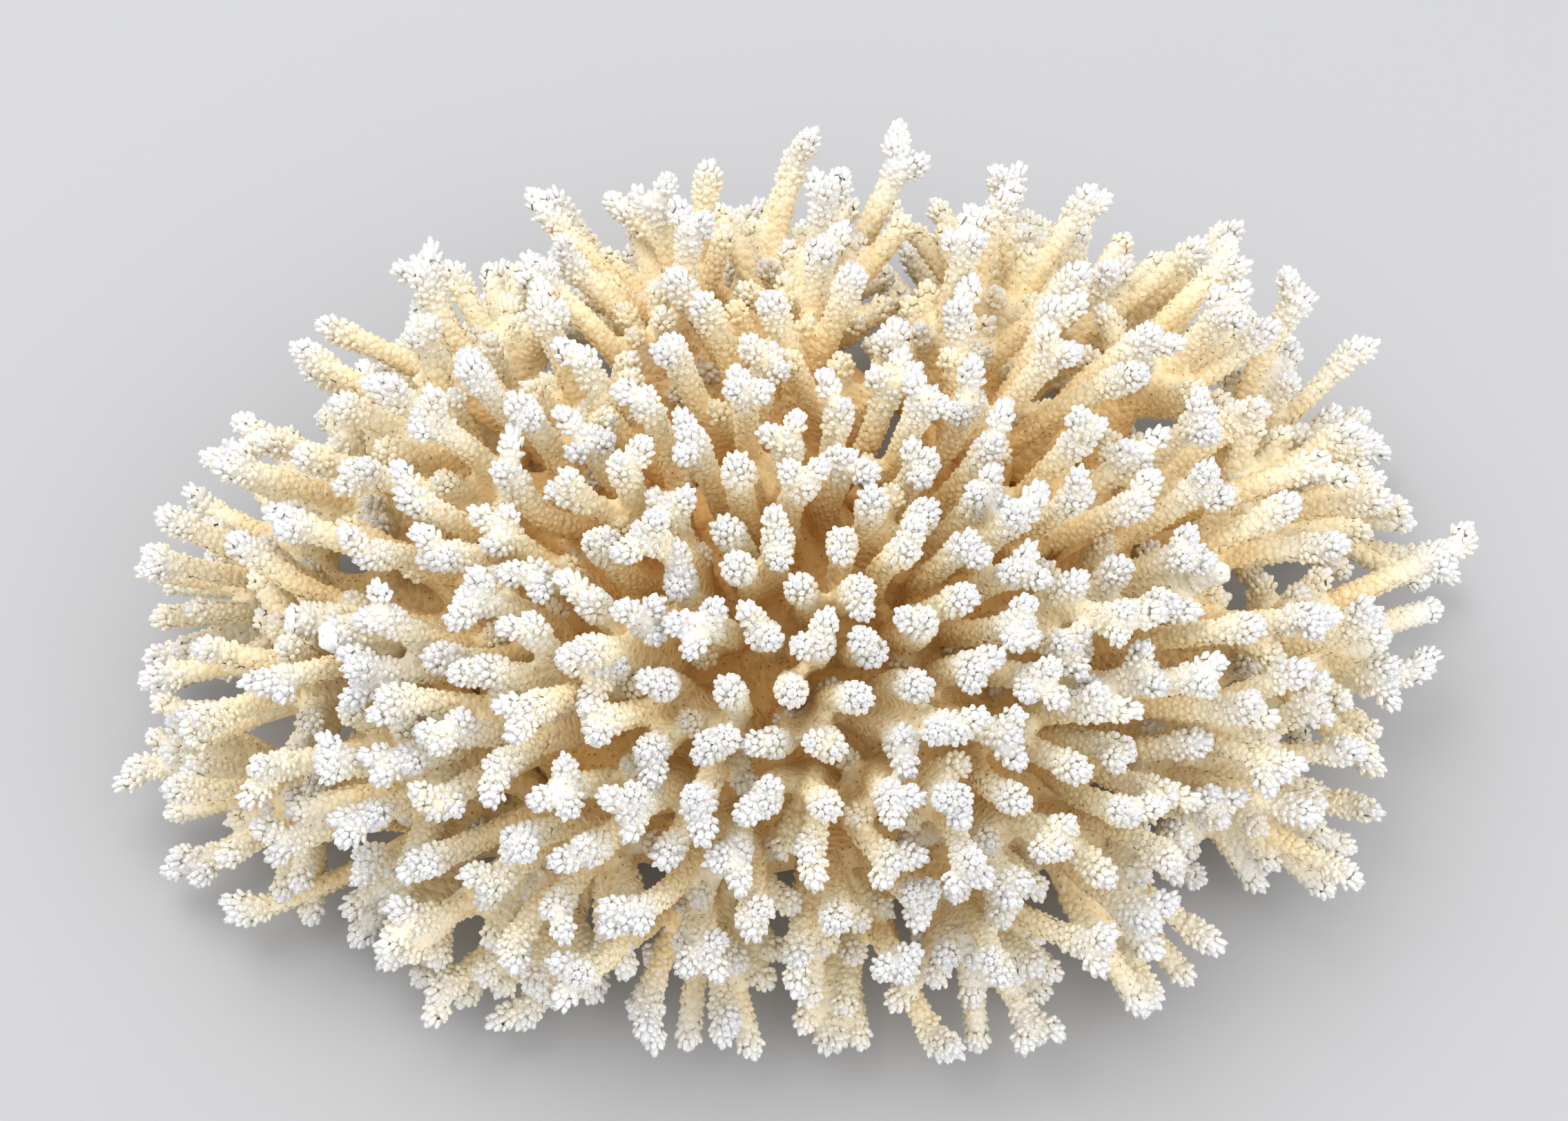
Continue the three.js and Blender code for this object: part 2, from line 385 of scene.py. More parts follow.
def pickLobes(index, line, run, radius):
    # short side shoots under a finger's tip
    draw = chance(index, 11)
    count = 0
    for k, share in enumerate(lobe["chances"]):
        if draw >= share:
            draw -= share
            count = k + 1
        else:
            break
    along, side, other = framesAlong(line)
    shoots = []
    turn = chance(index, 12) * 2 * math.pi
    for k in range(min(count, 3)):
        salt = 20 + 5 * k
        below = between(lobe["below"], chance(index, salt))
        length = between(lobe["length"], chance(index, salt + 1))
        lean = math.radians(between(lobe["lean"], chance(index, salt + 2)))
        place = int(np.argmin(np.abs(run[-1] - run - below)))
        angle = turn + k * lobe["turn"][0] + chance(index, salt + 3) * lobe["turn"][1]
        out = math.cos(angle) * side[place] + math.sin(angle) * other[place]
        first = unit(out * math.sin(lean) + along[place] * math.cos(lean))
        last = unit(first + along[place] * lobe["upturn"])
        base = line[place]
        bend = base + first * (radius + length * lobe["bend"])
        end = bend + last * length * (1 - lobe["bend"])
        if end[2] < colony["lowestTip"] - lobe["belowLowestTip"]:
            continue
        shoots.append({"points": [base, bend, end], "bare": radius,
                       "radius": lobe["radius"] * varied(lobe["variety"], chance(index, salt + 4))})
    return shoots


def shareOut(tip):
    # how far out a tip stands, as a share of the outline's reach
    return min(np.hypot(tip[0], tip[1]) / reachAt(math.degrees(math.atan2(tip[1], tip[0]))), 1)


def growStems(limb, firstIndex):
    # every branch of a limb: its line, radii, and how far each point is from the finger tip above
    forks = limb["forks"]
    angle = math.radians(limb["bearing"])
    spread = limb["share"] * colony["rootSpread"]
    root = np.array([spread * colony["rootStretch"] * math.cos(angle), spread * math.sin(angle),
                     colony["rootHeight"]])
    middle = np.mean([fork["point"] for fork in forks], axis=0)
    knee = middle + (root - middle) * 0.5
    knee[2] = max(knee[2], colony["lowestFork"])
    trunk = unit(middle - root)
    reachDown = colony["fingerLength"]
    stems = []
    paleness = np.clip((limb["share"] - stem["paleFrom"][0]) / stem["paleFrom"][1], 0, 1)

    def add(points, radiusFrom, radiusTo, endDepth, kind, **facts):
        line, run = curve(points, stem["step"])
        # tint distance down from the tip, shorter on outer limbs; its deep end is partly painted shade
        fromTip = (endDepth + run[-1] - run) * (1 - stem["rimPaleness"] * paleness)
        radii = radiusFrom + (radiusTo - radiusFrom) * (run / run[-1]) ** stem["taper"]
        if kind in ("finger", "lobe", "low") and facts.get("wear") != "broken":
            rounded = roundedTip(run[-1] - run, radiusTo)
            radii = np.minimum(radii, np.maximum(rounded, stem["leastRadius"]))
        stems.append({"line": line, "run": run, "radii": radii, "fromTip": fromTip, "kind": kind, **facts})
        return stems[-1]

    for here, there in limb["bridges"]:
        middle = (here + there) / 2 - unit((here + there) / 2 - focus) * bridge["sag"]
        add([here, middle, there], bridge["radius"], bridge["radius"], reachDown, "bridge")
    add([root, root * 0.5 + knee * 0.5, knee], stem["limbRadius"],
        stem["limbRadius"] * stem["endShare"], reachDown * stem["limbDepth"], "limb")
    index = firstIndex
    for fork in forks:
        start, aim = besideAxis(knee, trunk, fork["point"], colony["branchSpread"], len(forks))
        add([knee - trunk * stem["kneeOverlap"], start, fork["point"] - aim * 1.0],
            stem["branchRadius"] * stem["flare"], stem["branchRadius"], reachDown, "branch")
        foot = fork["point"] - aim * stem["forkOverlap"]
        for tip in fork["tips"]:
            index += 1
            base, growth = besideAxis(fork["point"], aim, tip, colony["fingerSpread"], len(fork["tips"]))
            share = shareOut(tip)
            slim = np.clip((share - stem["slimFrom"][0]) / stem["slimFrom"][1], 0, 1)
            tipRadius = stem["tipRadius"] * (1 - slim) + stem["rimTipRadius"] * slim
            tipRadius *= varied(stem["fingerVariety"], chance(index, 31))
            side = unit(np.cross(growth, [0.2, 0.3, 0.93]))
            bow = stem["wander"] * (chance(index, 32) * 2 - 1)
            sway = stem["wander"] * (chance(index, 33) * 2 - 1)
            half = (base + tip) / 2 + side * bow + np.cross(growth, side) * sway
            wear = wearOf(tip)
            finger = add([foot, base, half, tip], stem["fingerRadius"],
                         tipRadius + (stem["wornExtra"] if wear else 0), 0, "finger",
                         share=share, index=index, wear=wear)
            shoots = [] if wear else pickLobes(index, finger["line"], finger["run"], tipRadius)
            for k, shoot in enumerate(shoots):
                add(shoot["points"], shoot["radius"], shoot["radius"] * stem["endShare"], 0, "lobe",
                    share=share, index=index * 7 + k, bare=shoot["bare"])
        for k, tip in enumerate(fork["lowTips"]):
            seed = index * 3 + k
            bow = np.array([chance(seed, salt) - 0.5 for salt in (62, 63, 64)]) * lowFinger["bow"]
            share = shareOut(tip)
            # painted shade on the short fingers' tips, less of it towards the rim
            start, over, less = lowFinger["rimUnder"]
            under = lowFinger["under"] * (1 - less * np.clip((share - start) / over, 0, 1))
            add([foot, fork["point"], (fork["point"] + tip) / 2 + bow, tip],
                stem["lowFingerRadius"],
                stem["lowTipRadius"] * varied(stem["lowVariety"], chance(seed, 65)),
                under, "low", share=share, index=seed)
    return stems, index


cup = {
    "rowStep": 1.55,            # between rows, near the tip
    "rowSpread": 0.35,          # how much further apart the lowest rows are
    "gap": 1.62,                # between cups round a row
    "fewest": 4,                # cups in a row
    "proud": 0.25,              # cups are counted on a ring this much wider than the stem
    "scatter": (0.5, 0.7),      # shares of the gap and of the row step
    "fullTo": 2.7,              # rounded cups as far as this below a tip
    "lobeFullTo": 1.6,
    "lowRank": 5.8,             # cups of short fingers are made as simply as if this far down
    "plainTo": 8.8,             # then simpler ones
    "deepest": 33.0,            # then low bumps, and pores only below this
    "lobeDeepest": 7.5,
    "lowDeepest": 15.0,
    "radius": (0.72, 0.66),     # at the tip, at the deepest row
    "height": (1.4, 0.42),
    "heightFall": 0.6,
    "sizeVariety": (0.85, 0.3),     # least, and how much more by chance
    "heightVariety": (0.72, 0.56),
    "lean": (56, 25),           # towards the tip, in degrees
    "uprightOnTip": 0.7,        # how much of the lean is lost on the rounded tip
    "rimFrom": 0.75,            # from this share of the reach cups grow taller
    "rimTaller": 0.3,
    "lip": (0.32, 0.15),
    "footShade": 5.0,           # feet of cups and the bare skin are tinted as if this much further down: painted shade at the cup feet and between the cups
    "firstRow": 0.6,            # from the middle of the tip to the first row
    "foot": 0.3,                # how deep the foot of a cup sits
    "bareTo": {"broken": 1.6, "smooth": 7.0},   # no cups on this much of a worn finger's end
    "limbWidth": 90.0,          # other stems are looked for this far round a limb
    "searchReach": 11.0,        # and this far round a finger
    "buriedPast": 0.25,         # cups deeper inside another stem than this are left out
    "crownRadius": 0.95,        # the one cup at a finger's very tip
    "crownHeight": 1.2,
    "crownVariety": (0.7, 0.6),
    "crownOnLobe": 0.9,
    "crownFoot": (1.2, 1.15),   # how deep and how wide its foot is
    "crownWaist": 0.6,          # height of its widest ring
    "crownMouth": 0.6,          # width of its mouth
    "crownPit": 0.5,
}


def cupRows(branch):
    # place, outward normal, way to the tip and size of every cup on one finger
    line, run = branch["line"], branch["run"]
    along, side, _ = framesAlong(line)
    length = run[-1]
    deepest = {"finger": cup["deepest"], "low": cup["lowDeepest"],
               "lobe": min(cup["lobeDeepest"], length - branch.get("bare", 0))}[branch["kind"]]
    shift = branch["fromTip"][-1]
    rows = []
    arc, row = cup["firstRow"], 0
    capRadius = np.interp(length - stem["capLength"], run, branch["radii"])
    quarter = math.pi / 2 * (capRadius + stem["capLength"]) / 2
    while True:
        # rows run over the rounded tip first and then down the side
        if arc < quarter:
            slope = math.pi / 2 * (1 - arc / quarter)
            fromTip = stem["capLength"] * (1 - math.sin(slope))
            ringRadius = capRadius * math.cos(slope)
        else:
            slope = 0.0
            fromTip = stem["capLength"] + arc - quarter
            ringRadius = float(np.interp(length - fromTip, run, branch["radii"]))
        if fromTip > deepest:
            break
        if fromTip < cup["bareTo"].get(branch.get("wear"), 0):
            arc += cup["rowStep"]
            row += 1
            continue
        into = min(fromTip / cup["deepest"], 1)
        gap = cup["gap"] * (1 + cup["rowSpread"] * into)
        count = max(cup["fewest"], round(2 * math.pi * (ringRadius + cup["proud"]) / gap))
        seed = branch["index"] * 57 + row
        wobble = np.sin(np.arange(count) * 12.9898 + seed * 4.1414) * 43758.5453
        wobble = wobble - np.floor(wobble)
        wobbleTwo = (wobble * 97.13) % 1
        turn = (np.arange(count) + 0.5 * (row % 2) + 0.35 * chance(seed, 41)) * 2 * math.pi / count
        turn = turn + (wobble - 0.5) * cup["scatter"][0] * cup["gap"] / max(ringRadius, 0.8)
        at = length - fromTip - (wobbleTwo - 0.5) * cup["scatter"][1] * cup["rowStep"]
        centre = np.stack([np.interp(at, run, line[:, k]) for k in range(3)], 1)
        t = unit(np.array([np.interp(length - fromTip, run, along[:, k]) for k in range(3)]))
        s = np.array([np.interp(length - fromTip, run, side[:, k]) for k in range(3)])
        s = unit(s - t * (s @ t))
        o = np.cross(t, s)
        radial = np.cos(turn)[:, None] * s + np.sin(turn)[:, None] * o
        normal = radial * math.cos(slope) + t * math.sin(slope)
        tipward = t * math.cos(slope) - radial * math.sin(slope)
        grow = varied(cup["heightVariety"], (wobble * 31.7) % 1)
        size = cup["radius"][0] + (cup["radius"][1] - cup["radius"][0]) * into
        tall = cup["height"][0] + (cup["height"][1] - cup["height"][0]) * into ** cup["heightFall"]
        rim = np.clip((branch["share"] - cup["rimFrom"]) / (1 - cup["rimFrom"]), 0, 1)
        tall *= 1 + cup["rimTaller"] * rim * (1 - into)
        lean = math.radians(cup["lean"][0] + (cup["lean"][1] - cup["lean"][0]) * into)
        lean *= 1 - cup["uprightOnTip"] * slope / (math.pi / 2)
        lip = cup["lip"][0] + (cup["lip"][1] - cup["lip"][0]) * into
        fullTo = cup["lobeFullTo"] if branch["kind"] == "lobe" else cup["fullTo"]
        ranked = fromTip + (cup["lowRank"] if branch["kind"] == "low" else 0)
        level = 0 if ranked < fullTo else 1 if ranked < cup["plainTo"] else 2
        rows.append({"centre": centre + radial * ringRadius, "normal": normal, "tipward": tipward,
                     "size": size * varied(cup["sizeVariety"], wobbleTwo), "tall": tall * grow,
                     "lean": np.full(count, lean), "lip": np.full(count, lip),
                     "fromTip": np.full(count, fromTip + shift), "level": np.full(count, level)})
        arc += cup["rowStep"] * (1 + cup["rowSpread"] * into)
        row += 1
    return {key: np.concatenate([r[key] for r in rows]) for key in rows[0]} if rows else None


# share of the height and of the radius for each ring of corners, how high the middle is,
# how open it is, and how many sides
cupShapes = [
    ([(-0.3, 1.0), (0.55, 1.0), (0.95, 0.6)], 0.72, 1.0, 5),
    ([(-0.3, 1.12), (0.6, 0.88)], 1.0, 0.72, 5),
    ([(-0.3, 1.45)], 0.52, 0.0, 4),
]


def cupMesh(cups, level):
    # rings of corners up each cup and a point in the middle, for all cups at once
    rings, middleHeight, opened, sides = cupShapes[level]
    count = len(cups["centre"])
    n, t = cups["normal"], cups["tipward"]
    s = np.cross(n, t)
    lean = cups["lean"][:, None]
    axis = n * np.cos(lean) + t * np.sin(lean)
    up = t * np.cos(lean) - n * np.sin(lean)
    angle = np.arange(sides) * 2 * math.pi / sides + math.pi / 2
    c, d = np.cos(angle)[None, :, None], np.sin(angle)[None, :, None]
    size, tall, lip = (cups[k][:, None, None] for k in ("size", "tall", "lip"))
    centre = cups["centre"][:, None]
    verts, opening, deeper = [], [], []
    for high, wide in rings:
        if high < 0:
            across = c * s[:, None] + d * t[:, None]
            ring = centre - n[:, None] * cup["foot"] + across * size * wide
        else:
            across = c * s[:, None] + d * up[:, None]
            ring = centre + axis[:, None] * tall * high + across * size * wide
            ring = ring + axis[:, None] * np.maximum(-d, 0) * lip * high
        verts.append(ring)
        # lower rings are tinted further down the finger: painted shade at the foot of each cup
        opening += [0.25 if high < 0 else 0.0] * sides
        deeper += [cup["footShade"] * (1 - max(high, 0))] * sides
    # the middle point: its openness paints shade in the pit, and on full cups it is tinted as far down as
    # a foot, painted shade too
    verts.append(centre + axis[:, None] * (tall * middleHeight + lip * 0.25))
    opening.append(opened)
    deeper.append(cup["footShade"] if level == 0 else 0.0)
    verts = np.concatenate(verts, axis=1).reshape(-1, 3)
    k = np.arange(sides)
    after = (k + 1) % sides
    one = []
    for ring in range(len(rings) - 1):
        a = ring * sides
        one.append(np.stack([k + a, after + a, after + a + sides], 1))
        one.append(np.stack([k + a, after + a + sides, k + a + sides], 1))
    a = (len(rings) - 1) * sides
    one.append(np.stack([k + a, after + a, np.full(sides, a + sides)], 1))
    one = np.concatenate(one)
    corners = len(opening)
    faces = (one[None] + (np.arange(count) * corners)[:, None, None]).reshape(-1, 3)
    depth = np.repeat(cups["fromTip"], corners) + np.tile(deeper, count)
    return verts, faces, np.tile(opening, count), depth


def tipCup(branch, sides=7):
    # the axial cup: a short thick-walled tube on the very tip
    line = branch["line"]
    along, side, other = framesAlong(line)
    t, s, o = along[-1], side[-1], other[-1]
    scale = cup["crownOnLobe"] if branch["kind"] == "lobe" else 1.0
    outer = cup["crownRadius"] * scale
    tall = cup["crownHeight"] * scale * varied(cup["crownVariety"], chance(branch["index"], 51))
    angle = np.arange(sides) * 2 * math.pi / sides
    ring = np.cos(angle)[:, None] * s + np.sin(angle)[:, None] * o
    verts = np.concatenate([line[-1] - t * cup["crownFoot"][0] + ring * outer * cup["crownFoot"][1],
                            line[-1] + t * tall * cup["crownWaist"] + ring * outer,
                            line[-1] + t * tall + ring * outer * cup["crownMouth"],
                            (line[-1] + t * tall * cup["crownPit"])[None]])
    k = np.arange(sides)
    after = (k + 1) % sides
    faces = [np.stack([k + a, after + a, after + a + sides], 1) for a in (0, sides)]
    faces += [np.stack([k + a, after + a + sides, k + a + sides], 1) for a in (0, sides)]
    faces.append(np.stack([k + 2 * sides, after + 2 * sides, np.full(sides, 3 * sides)], 1))
    # the pit point carries 1 in cupDepth, which paints shade in the pit
    opening = np.concatenate([np.full(sides, 0.25), np.zeros(2 * sides), [1.0]])
    return verts, np.concatenate(faces), opening, np.full(len(verts), branch["fromTip"][-1])


brokenFace = {
    "sides": 14,
    "rings": 5,
    "proud": 0.45,
    "grain": 0.5,
    "edgeDrop": 0.6,
    "variety": (0.98, 0.08),    # of the radius
    "opening": 0.3,
    "fromTip": 2.0,             # tinted as if this far from a tip
}


def brokenEnd(branch):
    # a flat, grainy face where the finger has snapped off
    sides, rings, proud = brokenFace["sides"], brokenFace["rings"], brokenFace["proud"]
    line = branch["line"]
    along, side, other = framesAlong(line)
    t, s, o = along[-1], side[-1], other[-1]
    verts = [line[-1] + t * proud]
    for ring in range(1, rings + 1):
        for k in range(sides):
            angle = k * 2 * math.pi / sides
            rough = chance(ring * sides + k, 71) - 0.5
            out = branch["radii"][-1] * ring / rings * varied(brokenFace["variety"], rough)
            drop = proud + brokenFace["grain"] * rough if ring < rings else -brokenFace["edgeDrop"]
            verts.append(line[-1] + (math.cos(angle) * s + math.sin(angle) * o) * out + t * drop)
    faces = [(0, 1 + k, 1 + (k + 1) % sides) for k in range(sides)]
    for ring in range(rings - 1):
        a, b = 1 + ring * sides, 1 + (ring + 1) * sides
        for k in range(sides):
            after = (k + 1) % sides
            faces += [(a + k, b + k, b + after), (a + k, b + after, a + after)]
    return (np.array(verts), np.array(faces), np.full(len(verts), brokenFace["opening"]),
            np.full(len(verts), brokenFace["fromTip"]))


def makePiece(name, verts, faces, values):
    mesh = bpy.data.meshes.new(name)
    mesh.vertices.add(len(verts))
    mesh.vertices.foreach_set("co", (verts * mm).astype(np.float32).ravel())
    mesh.loops.add(len(faces) * 3)
    mesh.loops.foreach_set("vertex_index", faces.astype(np.int32).ravel())
    mesh.polygons.add(len(faces))
    mesh.polygons.foreach_set("loop_start", np.arange(0, len(faces) * 3, 3, dtype=np.int32))
    mesh.polygons.foreach_set("use_smooth", np.ones(len(faces), bool))
    mesh.update(calc_edges=True)
    mesh.validate()
    for key, data in values.items():
        layer = mesh.attributes.new(key, "FLOAT", "POINT")
        layer.data.foreach_set("value", data.astype(np.float32))
    piece = bpy.data.objects.new(name, mesh)
    bpy.context.scene.collection.objects.link(piece)
    return piece


def fuse(name, parts, voxel, smoothing, keep):
    # melts overlapping stems into one skin
    verts, faces, base = [], [], 0
    for v, f in parts:
        verts.append(v)
        faces.append(f + base)
        base += len(v)
    raw = makePiece(name + "_raw", np.concatenate(verts), np.concatenate(faces), {})
    melt = raw.modifiers.new("melt", "REMESH")
    melt.mode = "VOXEL"
    melt.voxel_size = voxel * mm
    melt.use_smooth_shade = True
    relax = raw.modifiers.new("relax", "SMOOTH")
    relax.factor = 0.5
    relax.iterations = smoothing
    thin = raw.modifiers.new("thin", "DECIMATE")
    thin.ratio = keep
    raw.modifiers.new("split", "TRIANGULATE")
    skin = bpy.data.meshes.new_from_object(raw.evaluated_get(bpy.context.evaluated_depsgraph_get()))
    co = np.zeros(len(skin.vertices) * 3, np.float32)
    skin.vertices.foreach_get("co", co)
    tri = np.zeros(len(skin.loops), np.int32)
    skin.loops.foreach_get("vertex_index", tri)
    bpy.data.objects.remove(raw)
    return co.reshape(-1, 3).astype(float) / mm, tri.reshape(-1, 3)


def samplesOf(stems):
    points = np.concatenate([b["line"] for b in stems])
    radii = np.concatenate([b["radii"] for b in stems])
    fromTip = np.concatenate([b["fromTip"] for b in stems])
    owner = np.concatenate([np.full(len(b["line"]), b["number"]) for b in stems])
    return points, radii, fromTip, owner


def buildLimb(limb, stems, everyStem):
    # one fused skin, and the cups on its fingers
    points, radii, _, owner = everyStem
    middle = np.mean([b["line"].mean(0) for b in stems], axis=0)
    near = np.all(np.abs(points - middle) < cup["limbWidth"], axis=1)
    points, radii, owner = points[near], radii[near], owner[near]
    tubes = [tube(b["line"], b["radii"] + stem["skinMargin"], stem["sides"]) for b in stems]
    skin, skinFaces = fuse(limb["name"], tubes, stem["voxel"], stem["smoothing"], stem["keep"])
    ownPoints, ownRadii, ownDepth, _ = samplesOf(stems)
    tree = KDTree(len(ownPoints))
    for i, point in enumerate(ownPoints):
        tree.insert(point, i)
    tree.balance()
    # each corner takes its depth from the stem whose surface is nearest
    nearest = [min((away - ownRadii[i], i) for _, i, away in tree.find_n(corner, 4))[1] for corner in skin]
    skinDepth = ownDepth[nearest]
    # the bare skin between the cups takes the same painted shade as the cup feet
    parts = [(skin, skinFaces, np.full(len(skin), 0.5), skinDepth + cup["footShade"])]
    for branch in stems:
        if branch["kind"] not in ("finger", "lobe", "low"):
            continue
        cups = cupRows(branch)
        if cups is not None:
            # leave out cups that would be buried in another branch
            low = cups["centre"].min(0) - cup["searchReach"]
            high = cups["centre"].max(0) + cup["searchReach"]
            others = (owner != branch["number"]) & np.all((points > low) & (points < high), axis=1)
            if others.any():
                distance = np.linalg.norm(cups["centre"][:, None] - points[others][None], axis=2)
                clear = (distance - radii[others][None]).min(1) > -cup["buriedPast"]
                cups = {key: value[clear] for key, value in cups.items()}
            for level in range(len(cupShapes)):
                some = cups["level"] == level
                if some.any():
                    parts.append(cupMesh({key: value[some] for key, value in cups.items()}, level))
        if branch.get("wear") == "broken":
            parts.append(brokenEnd(branch))
        elif not branch.get("wear"):
            parts.append(tipCup(branch))
    base, faces = 0, []
    for part in parts:
        faces.append(part[1] + base)
        base += len(part[0])
    return makePiece(limb["name"] + "_grown", np.concatenate([p[0] for p in parts]), np.concatenate(faces),
                     {"cupDepth": np.concatenate([p[2] for p in parts]),
                      "fromTip": np.concatenate([p[3] for p in parts])})


holdfast = {
    "stretch": 1.25,
    "profile": [(0, 0), (35, 0), (38, 7), (35, 18), (25, 27), (12, 31), (0, 32)],
    "around": 120,
    "step": 1.3,
    "lump": 0.9,
    "grain": 0.22,
    "cutPit": 0.8,              # how deep the grain goes on the cut, of its full depth
    "tints": (10.0, 52.0),      # the cut and the crust are tinted as if this far from a tip
    "cutReach": 34.0,
}


def buildHoldfast(shape):
    # a lumpy crust, cut off flat underneath
    profile = [np.array(shape["profile"][0], float)]
    for a, b in zip(shape["profile"], shape["profile"][1:]):
        a, b = np.array(a, float), np.array(b, float)
        count = max(1, round(math.dist(a, b) / shape["step"]))
        profile += [a + (b - a) * (k + 1) / count for k in range(count)]
    profile = np.array(profile)
    turn = np.arange(shape["around"]) * 2 * math.pi / shape["around"]
    out, up = profile[:, 0][:, None], profile[:, 1][:, None]
    verts = np.stack([out * np.cos(turn) * shape["stretch"], out * np.sin(turn), up + 0 * turn], 2)
    ways = np.array([[0.16, 0.09, 0.21], [-0.12, 0.24, 0.1], [0.31, -0.2, 0.27], [0.45, 0.52, -0.38]])
    lump = sum(np.sin(verts @ way + k * 1.7) for k, way in enumerate(ways)) / 4 * shape["lump"]
    ways = np.array([[2.1, 1.3, 1.9], [-1.7, 2.3, 1.1], [1.2, -2.6, 2.2]])
    grain = sum(np.sin(verts @ way * 1.3 + k) for k, way in enumerate(ways)) / 3 * shape["grain"]
    outward = verts - np.array([0, 0, 10.0])
    outward /= np.linalg.norm(outward, axis=2)[..., None]
    onCut = up < 0.01
    move = outward * (lump + grain)[..., None]
    move[..., 2] = np.where(onCut, -np.minimum(grain, 0) * shape["cutPit"], move[..., 2])
    move[..., :2] *= np.where(out < 1, 0, 1)[..., None]
    verts = verts + move
    verts[..., 2] = np.maximum(verts[..., 2], 0)
    rows, around = len(profile), shape["around"]
    a = (np.arange(rows - 1)[:, None] * around + np.arange(around)).ravel()
    b = (np.arange(rows - 1)[:, None] * around + (np.arange(around) + 1) % around).ravel()
    faces = np.concatenate([np.stack([a, b, b + around], 1), np.stack([a, b + around, a + around], 1)])
    tint = np.where(onCut & (out < shape["cutReach"]), *shape["tints"]) + 0 * turn
    return makePiece("holdfast_grown", verts.reshape(-1, 3), faces,
                     {"cupDepth": np.full(rows * around, 0.5), "fromTip": tint.ravel()})


skeletonFinish = {
    # colour by distance from the finger tip, in millimetres: white tips going to cream and honey is the
    # skeleton's own colour, and the darker honey deep in the colony is partly painted shade
    "tones": [(3.3, (0.77, 0.76, 0.755)), (7.5, (0.83, 0.78, 0.67)), (12.0, (0.89, 0.785, 0.56)),
              (21.0, (0.91, 0.71, 0.40)), (42.0, (0.80, 0.52, 0.20))],
    "toneReach": 60.0,
    "patchShift": 3.5,          # how far the tones wander, in millimetres
    # painted shade in the pores and in the pits of the cups
    "poreShadeTone": (0.62, 0.45, 0.28),
    "patchScale": 38.0,
    "roughness": 0.58,
    "shine": 0.35,
    "glow": 0.12,               # share of light that soaks into the skeleton
    "glowReach": 0.0022,
    "glowTint": (1.0, 0.78, 0.48),
    "poreStep": 0.0018,
    "poreScatter": 0.75,
    "poreDepth": 1.2,
    "knobHeight": 2.6,
    "grain": 0.00035,
    "relief": 0.55,
    "reliefHeight": 0.0005,
}


def newNode(tree, kind, x, y, **inputs):
    node = tree.nodes.new(kind)
    node.location = (x, y)
    for key, value in inputs.items():
        node.inputs[key].default_value = value
    return node


def ramp(tree, source, stops, x, y):
    node = tree.nodes.new("ShaderNodeValToRGB")
    node.location = (x, y)
    tree.links.new(source, node.inputs["Fac"])
    while len(node.color_ramp.elements) < len(stops):
        node.color_ramp.elements.new(0.5)
    for element, (place, colour) in zip(node.color_ramp.elements, stops):
        element.position = place
        element.color = (*colour, 1)
    return node


